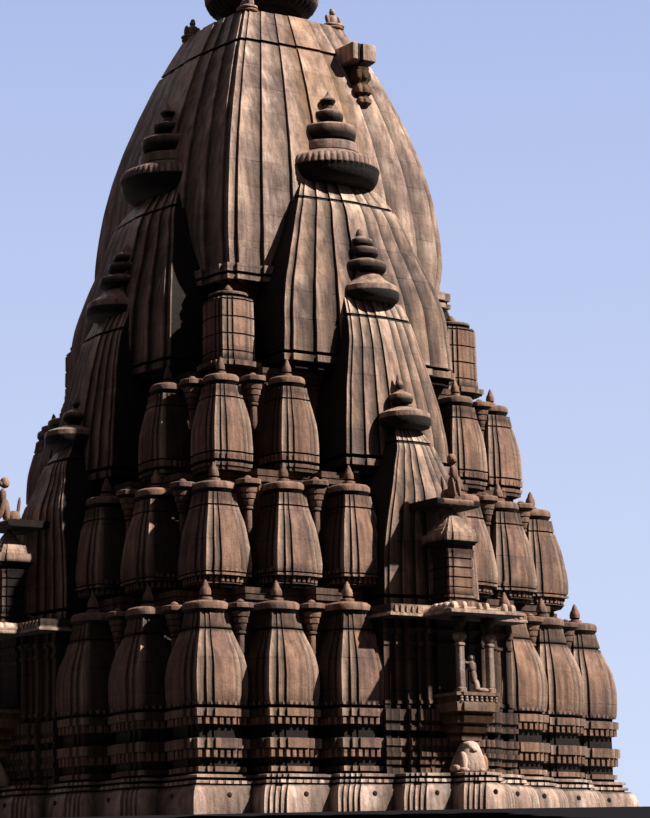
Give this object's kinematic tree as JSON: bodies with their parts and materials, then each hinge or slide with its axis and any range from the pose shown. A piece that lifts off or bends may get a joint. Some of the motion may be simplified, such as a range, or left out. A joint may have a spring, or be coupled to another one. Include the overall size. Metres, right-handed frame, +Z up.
{
  "type": "hindu temple tower (shikhara)",
  "caption": "Curved stone temple tower on a stepped base course, ringed by rows of miniature towers, with half spires, balconies and turrets on its sides.",
  "frame": {"origin": "middle of the flat underside of the base course, at ground level", "axes": "+Z up along the spire's axis; right side faces +X and carries the flag holder, back +Y, left -X, front -Y"},
  "size_m": [10.15, 10.15, 14.0714],
  "materials": {
    "stone": "weathered brown stone with dark streaks",
    "dark_stone": "dark weathered stone",
    "pale_stone": "pale washed stone"
  },
  "bodies": {
    "root": {"base_course": "pale_stone", "core_masonry": "dark_stone", "main_spire": "stone", "crown_neck": "dark_stone", "crown_disc": "stone", "crown_finial": "stone", "right_lower_spire": "stone", "right_middle_spire": "stone", "right_upper_spire": "stone", "right_bay": "stone", "right_bay_roof": "stone", "right_turret": "stone", "right_balcony": "pale_stone", "back_lower_spire": "stone", "back_middle_spire": "stone", "back_upper_spire": "stone", "back_bay": "stone", "back_bay_roof": "stone", "back_turret": "stone", "back_balcony": "pale_stone", "left_lower_spire": "stone", "left_middle_spire": "stone", "left_upper_spire": "stone", "left_bay": "stone", "left_bay_roof": "stone", "left_turret": "stone", "left_balcony": "pale_stone", "front_lower_spire": "stone", "front_middle_spire": "stone", "front_upper_spire": "stone", "front_bay": "stone", "front_bay_roof": "stone", "front_turret": "stone", "front_balcony": "pale_stone", "back_right_lower_towers": "stone", "back_right_middle_towers": "stone", "back_right_upper_towers": "stone", "back_left_lower_towers": "stone", "back_left_middle_towers": "stone", "back_left_upper_towers": "stone", "front_left_lower_towers": "stone", "front_left_middle_towers": "stone", "front_left_upper_towers": "stone", "front_right_lower_towers": "stone", "front_right_middle_towers": "stone", "front_right_upper_towers": "stone", "flag_beam": "stone", "flag_bracket": "stone"}
  },
  "joints": []
}
